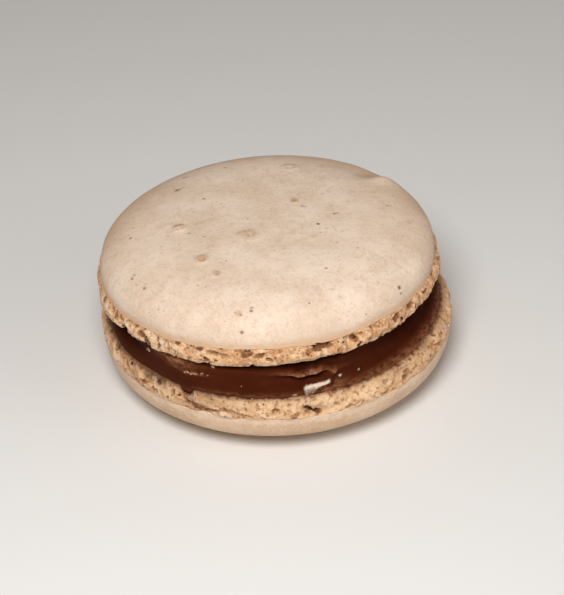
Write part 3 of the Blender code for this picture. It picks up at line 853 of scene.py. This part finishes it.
def cream_radius(degrees, share):
    theta = math.radians(degrees)
    back = set_back(degrees)
    radius = CREAM_RADIUS + CREAM_LEAN * math.cos(math.radians(degrees - CREAM_LEAN_AZIMUTH))
    radius += 0.22 * ring_noise(theta, 6.0, 41.0, 23.0)
    radius -= back * (1.6 * ease(share, 0.02, 0.34) + 1.7 * ease(share, 0.20, 0.75))
    radius -= 1.9 * bell(degrees, HOLLOW_AZIMUTH, 20.0) * ease(share, 0.05, 0.60)
    radius += 0.30 * math.sin(math.pi * share) * (1.0 - back)
    # The upper edge draws back under the shell, the lower one meets the foot
    draw = 2.0 * (1.0 - 0.6 * back) * (1.0 - 0.75 * bell(degrees, SMEAR_AZIMUTH, 8.0))
    radius -= draw * ease(share, 0.80, 0.97) + 0.18 * ease(share, 0.10, 0.0)
    # Fold in front: a ridge that rises to the right, a groove under it, and the wet lip below
    span = bell(degrees, FOLD_AZIMUTH, 9.5)
    ridge = fold_ridge(degrees)
    broad = 0.050 + 0.025 * bell(degrees, LIP_AZIMUTH, 4.0)
    wander = 0.70 + 0.25 * noise.noise(Vector((0.35 * degrees, 0.0, 8.0)))
    radius += wander * span * bell(share, ridge, broad)
    radius -= 0.60 * span * bell(share, ridge - 0.16, 0.065)
    # The lip's upper side leans back and turns to the left, so that the lamp shows in it
    wet = ease(abs(degrees + 77.8), 6.8, 4.0)
    crest = lip_crest(degrees)
    radius += wet * (0.46 * bell(share, crest - 0.03, 0.085) - 0.25 * bell(share, crest + 0.20, 0.08))
    radius += wet * 0.09 * (degrees - LIP_AZIMUTH) * bell(share, crest, 0.17)
    radius += 0.12 * bell(degrees, tail_azimuth(share), 0.35) * ease(share, 0.42, 0.30)
    # Knob, blebs and smear, a crease on the left, and the block in the gap
    radius += sum(patches(degrees, share, WALL_RISES))
    radius -= 0.20 * bell(degrees, -130.3, 1.0) * ease(share, 0.35, 0.9)
    radius += 0.30 * notch(degrees) * ease(share, 0.16, 0.0)
    # Slow waves of a soft paste
    around = Vector((23.0 * math.cos(theta), 23.0 * math.sin(theta), 5.0 * share))
    return radius + (0.10 * noise.noise(around / 3.1) + 0.030 * noise.noise(around / 1.1))


walls = [round(cream_radius(azimuth, share), 2) for azimuth, share in ((-90.0, 0.5), (SHADE_AZIMUTH, 0.7))]
print("radius of the wall in front and in the shade, in mm:", walls)

# %% [markdown]
# ## The cream as a mesh
# The wall is a grid of rings, with a floor and a roof that close it. The floor lies on the lower foot and the
# roof a little inside the upper shell, so that no gap shows. Four attributes guide the paint and the crumbs.

# %% Build the cream
CREAM_SEGMENTS = 900
WALL_RINGS = 72
INNER_RADII = (6.0, 12.0, 16.0, 19.0, 19.6)
LOWER_FOOT_TOP = 3.16
UPPER_FOOT_TOP = 2.62


def cream_spot(degrees, share, radius):
    """A point of the cream in metres, at an azimuth, a share of its height and a radius."""
    x = radius * math.cos(math.radians(degrees))
    y = radius * math.sin(math.radians(degrees))
    # The lower foot is level inside and rounded off towards its edge
    edge = 22.2 + 0.35 * math.cos(math.radians(degrees - CREAM_LEAN_AZIMUTH))
    low = LOWER_RIM_LEVEL + LOWER_FOOT_TOP - 0.32 * max(radius - edge, 0.0) ** 1.6 - 0.40 * notch(degrees)
    tilt = upper_place.to_3x3() @ Vector((0.0, 0.0, 1.0))
    base = upper_place.translation * 1000.0
    high = base.z - UPPER_FOOT_TOP / tilt.z - (tilt.x * (x - base.x) + tilt.y * (y - base.y)) / tilt.z
    return x * MM, y * MM, (low + (high - low) * share) * MM


def cream_marks(degrees, share):
    """How wet a point of the wall is (with its painted highlight), how pale from smears and painted
    highlights, how full of crumbs, and how much painted shade it has, each from 0 to 1.
    """
    ridge = fold_ridge(degrees)
    wet = max(
        gloss_patch(degrees, share), *patches(degrees, share, WET_PATCHES),
        # The thin ridge down from the lip and the ridge of the fold also get a painted highlight
        0.55 * bell(degrees, tail_azimuth(share), 0.45) * ease(share, 0.34, 0.26),
        0.32 * bell(degrees, -79.5, 4.5) * bell(share, ridge + 0.01, 0.055),
        0.24 * bell(degrees, -85.0, 7.0) * bell(share, ridge, 0.035),
    )
    # The lower lip is paler: partly cream thinned over the foot, partly a painted highlight
    lip = max(0.0, math.cos(math.radians(degrees + 30.0))) ** 0.5 * ease(share, 0.26, 0.04)
    smear = max(
        *patches(degrees, share, SMEARS), 0.75 * lip,
        # The ridge of the fold is paler, a painted highlight
        bell(degrees, FOLD_AZIMUTH, 9.0) * bell(share, ridge, 0.045 + 0.03 * bell(degrees, LIP_AZIMUTH, 4.0)),
    )
    crumbs = bell(degrees, -118.0, 3.0) * bell(share, 0.615 - 0.004 * (degrees + 118.0), 0.040)
    # Painted shade: where the wall lies back on the right, in the hollow on the left, in a band under the
    # upper shell, above the fold, and in the gap of the lower foot
    deep = max(
        0.55 * ease(share, 0.06, 0.35) * set_back(degrees),
        bell(degrees, HOLLOW_AZIMUTH, 20.0) * ease(share, 0.15, 0.50),
        ease(share, 0.80, 0.90) * (1.0 - bell(degrees, SMEAR_AZIMUTH, 8.0)),
        ease(share, ridge + 0.06, ridge + 0.12) * bell(degrees, -82.0, 12.0),
        ease(abs(degrees - GAP_AZIMUTH), 2.6, 1.4) * ease(share, 0.10, 0.02),
    )
    return wet, smear, crumbs, deep


def cream_mesh():
    points = []
    marks = []
    rows = [(0.0, radius) for radius in INNER_RADII]
    rows += [(ring / WALL_RINGS, None) for ring in range(WALL_RINGS + 1)]
    rows += [(1.0, radius) for radius in reversed(INNER_RADII[:-1])]
    for share, inner in rows:
        for step in range(CREAM_SEGMENTS):
            degrees = 360.0 * step / CREAM_SEGMENTS
            degrees -= 360.0 if degrees > 180.0 else 0.0
            points.append(cream_spot(degrees, share, inner or cream_radius(degrees, share)))
            marks.append((0.0, 0.0, 0.0, 1.0) if inner else cream_marks(degrees, share))
    under = len(points)
    points += [cream_spot(0.0, 0.0, 0.0), cream_spot(0.0, 1.0, 0.0)]
    marks += [(0.0, 0.0, 0.0, 1.0)] * 2
    faces = []
    last = under - CREAM_SEGMENTS
    for step in range(CREAM_SEGMENTS):
        after = (step + 1) % CREAM_SEGMENTS
        faces.append((under, after, step))
        faces.append((last + step, last + after, under + 1))
        for here in range(0, last, CREAM_SEGMENTS):
            above = here + CREAM_SEGMENTS
            faces.append((here + step, here + after, above + after, above + step))
    wet, smear, crumbs, deep = zip(*marks)
    return new_mesh("cream", points, [], faces, wet=wet, smear=smear, crumbs=crumbs, deep=deep)


cream = place_piece("cream", cream_mesh())

# %% [markdown]
# ## Chocolate cream: the finish
# Cocoa butter and cream set to a dark satin brown. Where the cream was touched or folded it stays wet, and
# what the eye reads as wet is a small sharp reflection of the lamp, with a pale painted highlight laid on a
# surface that is otherwise nearly black. Painted shade darkens the cream where it lies back in the recesses.

# %% Material: chocolate cream
WET_FROM = 0.36


def chocolate_cream(label, shine, tint):
    material, tree, shader, place = new_paint(label)
    wet = felt(tree, "wet")

    # Clouds of a few millimetres, and paler smears broken up at half a millimetre: partly real smears, partly
    # painted highlights on the fold's ridge, the knob and the lower lip
    colour = layers(tree, "#42190A", (clouds(tree, place, 380.0, 3.0), 0.35, 0.70, 1.0, "#4B1F0E"))
    # Painted shade, near black, where the wall lies back in the shade
    colour = blend(tree, felt(tree, "deep"), colour, "#2A0D05")
    streak = add(tree, "ShaderNodeMapping", {"Vector": place, "Scale": (1.0, 1.0, 2.5)})
    broken = clouds(tree, streak, 1100.0, 3.0, Roughness=0.6)
    share = calc(tree, "MULTIPLY", felt(tree, "smear"), ramp(tree, broken, 0.30, 0.65))
    colour = blend(tree, share, colour, "#976444")

    # A painted highlight: a pale colour laid on the wet cream where the lamp's reflection falls
    uneven = calc(tree, "MULTIPLY_ADD", clouds(tree, place, 3400.0, 2.0), 0.7, wet)
    colour = layers(tree, colour, (uneven, 0.56, 1.25, 0.90, "#E6D0BB"))

    # Satin where it set, glossy where it is wet, with ripples a few tenths of a millimetre wide
    bump = add(tree, "ShaderNodeBump", {
        "Height": clouds(tree, place, 1200.0, 2.0), "Strength": ramp(tree, wet, 0.1, 0.7, 0.20, 0.25),
        "Distance": 0.08 * MM,
    })
    feed(tree, shader, {
        "Base Color": colour, "Roughness": ramp(tree, wet, 0.1, 0.7, 0.23, 0.46), "Normal": bump,
        "IOR": 1.47, "Specular IOR Level": shine, "Specular Tint": linear(tint),
    })
    return material


cream.data.materials.append(chocolate_cream("milk chocolate cream", 0.04, "#E8B894"))
cream.data.materials.append(chocolate_cream("milk chocolate cream, wet", 1.00, "#FBE6D6"))
wetness = np.empty(len(cream.data.vertices))
cream.data.attributes["wet"].data.foreach_get("value", wetness)
for face in cream.data.polygons:
    face.material_index = int(min(wetness[corner] for corner in face.vertices) > WET_FROM)
print("made:", [material.name for material in cream.data.materials])

# %% [markdown]
# ## Crumbs
# Crumbs of baked almond cling to the cream. The few that stand out are placed by name, and Geometry Nodes
# scatter the finest ones where the cream's crumbs attribute is high, each a small lumpy ball of its own size.

# %% Crumbs
# Azimuth, share of the wall's height, and radius in mm
NAMED_CRUMBS = (
    (-138.8, 0.62, 0.26), (-138.1, 0.59, 0.14), (-137.4, 0.92, 0.2), (-117.8, 0.9, 0.2),
    (-111.9, 0.85, 0.2), (-111.4, 0.84, 0.15), (-113.3, 0.62, 0.12), (-102.3, 0.41, 0.07),
    (-120.6, 0.63, 0.19), (-120.2, 0.61, 0.15), (-119.6, 0.61, 0.13), (-117.7, 0.61, 0.19),
    (-117.2, 0.6, 0.16), (-118.4, 0.6, 0.11), (-115.4, 0.6, 0.13), (-94.5, 0.06, 0.11), (-99.0, 0.05, 0.1),
    (-75.5, 0.1, 0.12), (-71.2, 0.05, 0.14),
)


def crumb_tree():
    tree, size = new_group("crumbs", (
        ("Per square metre", "Float", 4.5e6), ("Finest", "Float", 0.07 * MM),
        ("Coarsest", "Float", 0.16 * MM), ("Lumpiness", "Float", 0.17 * MM), ("Seed", "Int", 4),
        ("Places", "Object", None), ("Material", "Material", None),
    ))

    def named(name):
        return add(tree, "GeometryNodeInputNamedAttribute", {"Name": name}, data_type="FLOAT")

    def chance(kind, **span):
        return add(tree, "FunctionNodeRandomValue", {**span, "Seed": size["Seed"]}, data_type=kind)

    dense = calc(tree, "MULTIPLY", named("crumbs"), size["Per square metre"])
    scattered = add(tree, "GeometryNodeDistributePointsOnFaces", {
        "Mesh": size["Geometry"], "Density": dense, "Seed": size["Seed"],
    })
    any_size = chance("FLOAT", Min=size["Finest"], Max=size["Coarsest"])
    any_turn = chance("FLOAT_VECTOR", Max=(6.28, 6.28, 6.28))
    ball = add(tree, "GeometryNodeMeshIcoSphere", {"Radius": 1.0, "Subdivisions": 3})
    places = add(tree, "GeometryNodeObjectInfo", {"Object": size["Places"]}).outputs["Geometry"]
    both = add(tree, "GeometryNodeJoinGeometry")
    for points, width in ((places, named("size")), (scattered, any_size)):
        crop = add(tree, "GeometryNodeInstanceOnPoints", {
            "Points": points, "Instance": ball, "Scale": width, "Rotation": any_turn,
        })
        feed(tree, both, {0: crop})
    real = add(tree, "GeometryNodeRealizeInstances", {"Geometry": both})
    lumps = clouds(tree, add(tree, "GeometryNodeInputPosition"), 5200.0, 2.0).outputs[1]
    shift = add(tree, "ShaderNodeVectorMath", {
        0: vector(tree, "SUBTRACT", lumps, (0.5, 0.5, 0.5)), "Scale": size["Lumpiness"],
    }, operation="SCALE")
    pushed = add(tree, "GeometryNodeSetPosition", {"Geometry": real, "Offset": shift})
    made = add(tree, "GeometryNodeSetMaterial", {"Geometry": pushed, "Material": size["Material"]})
    add(tree, "NodeGroupOutput", {0: made})
    return tree


def almond_crumb():
    """Baked almond meal: matt, pale inside and browned outside."""
    material, tree, shader, place = new_paint("baked almond crumb")
    colour = layers(tree, "#CFA880", (clouds(tree, place, 2600.0, 3.0), 0.38, 0.56, 1.0, "#84573A"))
    feed(tree, shader, {"Base Color": colour, "Roughness": 0.8})
    return material


def crumb_places():
    spots = []
    for degrees, share, radius in NAMED_CRUMBS:
        spots.append(cream_spot(degrees, share, cream_radius(degrees, share) + 0.1 * radius))
    sizes = [radius * MM for degrees, share, radius in NAMED_CRUMBS]
    return bpy.data.objects.new("places", new_mesh("places", spots, [], [], size=sizes))


crumb_mesh = grow("cream_crumbs", cream.data.copy(), crumb_tree(), {
    "Places": crumb_places(), "Material": almond_crumb(),
})
crumb_mesh.shade_smooth()
crumbs = place_piece("cream_crumbs", crumb_mesh)

# %% [markdown]
# ## Baked skin: the finish
# The skin dried before it baked, so it is smooth and satin, a pale beige with a hint of cocoa. Almond flour
# leaves fine dark flecks in it, most a tenth of a millimetre wide, broken blisters leave tan spots, and the
# skin browns towards its edge, where it is thin and lies on the hot foam. Painted shade darkens the back of
# the upper skin and the back rims of its blisters, and all of the lower skin, whose rim has a pale painted
# highlight.

# %% Material: baked skin
def baked_skin(label, pale, deep, browned):
    material, tree, shader, place = new_paint(label)

    # Clouds of six millimetres, drawn streaks, swirls of one millimetre, and a fine salt and pepper
    broad = clouds(tree, place, 160.0, 3.0)
    drawn = add(tree, "ShaderNodeMapping", {
        "Vector": place, "Rotation": (0.0, 0.0, -0.35), "Scale": (0.5, 1.6, 1.0),
    })
    streak = clouds(tree, drawn, 420.0, 3.0, Roughness=0.6, Distortion=0.8)
    swirl = clouds(tree, place, 900.0, 4.0, Roughness=0.65, Distortion=0.6)
    salt = clouds(tree, place, 3000.0, 2.0)
    colour = layers(
        tree, pale, (broad, 0.38, 0.62, 1.0, deep), (streak, 0.50, 0.70, 0.15, "#BC9573"),
        (swirl, 0.53, 0.72, 0.36, "#BE9B7D"), (swirl, 0.47, 0.30, 0.34, "#F0DDCA"),
        (salt, 0.56, 0.72, 0.28, "#AD8B70"), (salt, 0.44, 0.28, 0.25, "#F4E4D3"),
    )

    # Three sizes of fleck, drawn a little coarser than the finest real ones so that they show
    swept = add(tree, "ShaderNodeMapping", {
        "Vector": place, "Rotation": (0.0, 0.0, 0.5), "Scale": (1.0, 1.5, 1.0),
    })
    for scale, rare, reach, strength, code in (
        (420.0, 0.30, 0.11, 0.85, "#7A5538"), (850.0, 0.38, 0.16, 0.66, "#8B6546"),
        (1700.0, 0.60, 0.18, 0.40, "#957357"),
    ):
        within, luck = dots(tree, swept, scale, rare, reach)
        some = calc(tree, "MULTIPLY_ADD", luck, 0.7, 0.3)
        faint = calc(tree, "MULTIPLY", ramp(tree, within, -0.02, 0.04, strength), some)
        colour = blend(tree, faint, colour, code)

    # Tan middles of broken blisters, and the large flecks, with painted shade on the blisters' back rims
    colour = blend(tree, felt(tree, "tan"), colour, "#BD9169")
    colour = layers(tree, colour, (felt(tree, "dark"), 0.10, 0.80, 0.85, "#66452F"))

    # Painted shade: the shoulder is darker and browner on the side away from the camera
    level = felt(tree, "level")
    behind = ramp(tree, add(tree, "ShaderNodeSeparateXYZ", {0: place}).outputs["Y"], -9.0 * MM, 4.0 * MM)
    shoulder = calc(tree, "MULTIPLY", ramp(tree, level, 6.3, 3.8, 0.42), behind)
    colour = blend(tree, shoulder, colour, "#C4946A")

    # The rim, browned; on the lower skin its outer coat is a pale painted highlight
    low = calc(tree, "ADD", level, calc(tree, "MULTIPLY_ADD", swirl, 1.6, -0.8))
    colour = layers(tree, colour, (low, 1.5, 0.2, 0.22, "#C79C76"), (low, 1.0, -0.15, 0.85, browned))
    grain = clouds(tree, place, 3300.0, 2.0)
    bump = add(tree, "ShaderNodeBump", {"Height": grain, "Strength": 0.35, "Distance": 0.06 * MM})
    feed(tree, shader, {"Base Color": colour, "Normal": bump, "Roughness": 0.62, "Specular IOR Level": 0.32})
    return material


upper_skin.data.materials.append(baked_skin("baked almond skin", "#EDD7C2", "#E0C7AF", "#CDA580"))
# The lower skin: darker colours as painted shade on a skin that faces down, and a pale painted highlight on
# its rim
lower_skin.data.materials.append(baked_skin("baked almond skin, tray side", "#DBBD9F", "#CFAE8E", "#E8D0B7"))
print("made:", [piece.data.materials[0].name for piece in (upper_skin, lower_skin)])

# %% [markdown]
# ## Camera
# The photo looks down on the macaron from 34 degrees with a long lens, and leans by 2.6 degrees. A small
# shift puts the macaron where the picture has it.

# %% Camera
CAMERA_HEIGHT = math.radians(34.2)
CAMERA_LEAN = math.radians(-2.62)
CAMERA_DISTANCE = 300.0 * MM
PIXELS_PER_MM = 7.27
PICTURE_WIDTH = 564.0
PICTURE_HEIGHT = 595.0
MIDDLE_ACROSS = 275.67
MIDDLE_DOWN = 285.11

middle = Vector((0.0, 0.0, LOWER_RIM_LEVEL + 0.5 * RIM_TO_RIM)) * MM
lens = bpy.data.cameras.new("camera")
camera = new_object("camera", lens)
turn = Matrix.Rotation(0.5 * math.pi - CAMERA_HEIGHT, 4, "X") @ Matrix.Rotation(CAMERA_LEAN, 4, "Z")
turn.translation = middle + Vector((0.0, -math.cos(CAMERA_HEIGHT), math.sin(CAMERA_HEIGHT))) * CAMERA_DISTANCE
camera.matrix_world = turn
lens.sensor_fit = "VERTICAL"
lens.sensor_height = 36.0
lens.lens = PIXELS_PER_MM * 1000.0 * CAMERA_DISTANCE / PICTURE_HEIGHT * lens.sensor_height
lens.shift_x = (0.5 * PICTURE_WIDTH - MIDDLE_ACROSS) / PICTURE_HEIGHT
lens.shift_y = (MIDDLE_DOWN - 0.5 * PICTURE_HEIGHT) / PICTURE_HEIGHT
lens.clip_start = 0.01
bpy.context.scene.camera = camera
print("lens:", round(lens.lens, 1), "mm")

# %% [markdown]
# ## Floor and light
# A pale floor, one soft lamp high behind the camera and slightly left, which makes the front of the skin the
# brightest, a weak one from the right, and pale surroundings to fill the shade.

# %% Floor and lights
FLOOR_REACH = 1.2
corners = [(x * FLOOR_REACH, y * FLOOR_REACH, 0.0) for x, y in ((-1, -1), (1, -1), (1, 1), (-1, 1))]
floor = new_object("floor", new_mesh("floor", corners, [], [(0, 1, 2, 3)]))
paper, tree, shader, place = new_paint("matt white paper")
feed(tree, shader, {"Base Color": linear("#E9E7E4"), "Roughness": 0.9})
floor.data.materials.append(paper)


def lamp_at(label, azimuth, height, distance, width, power):
    """A round lamp that faces the macaron, placed by azimuth and height in degrees and distance in metres."""
    up = math.radians(height)
    spot = middle + (direction(azimuth) * math.cos(up) + Vector((0.0, 0.0, math.sin(up)))) * distance
    lamp = bpy.data.lights.new(label, "AREA")
    lamp.shape = "DISK"
    lamp.size = width
    lamp.energy = power
    holder = new_object(label, lamp)
    holder.location = spot
    holder.rotation_euler = (middle - spot).to_track_quat("-Z", "Y").to_euler()


lamp_at("key", -98.0, 50.0, 0.28, 0.12, 0.665)
lamp_at("fill", -28.0, 24.0, 0.60, 0.40, 0.54)

world = bpy.data.worlds.new("studio")
world.use_nodes = True
sky = world.node_tree.nodes["Background"]
feed(world.node_tree, sky, {"Color": (1.0, 0.925, 0.84, 1.0), "Strength": 0.21})
bpy.context.scene.world = world
bpy.context.scene.view_settings.view_transform = "Standard"

# %% [markdown]
# ## Hand over
# Each piece rides on the one body of the part, and the solid it stands for is hidden.

# %% Ride and hide the solids
for piece, node, slot in (
    (upper_skin, "upper_shell", "baked_shell"),
    (upper_foot, "upper_shell", "baked_shell"),
    (lower_skin, "lower_shell", "baked_shell"),
    (lower_foot, "lower_shell", "baked_shell"),
    (cream, "filling", "chocolate_cream"),
    (crumbs, "filling", "baked_shell"),
):
    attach(piece, "root")
    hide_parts(node)
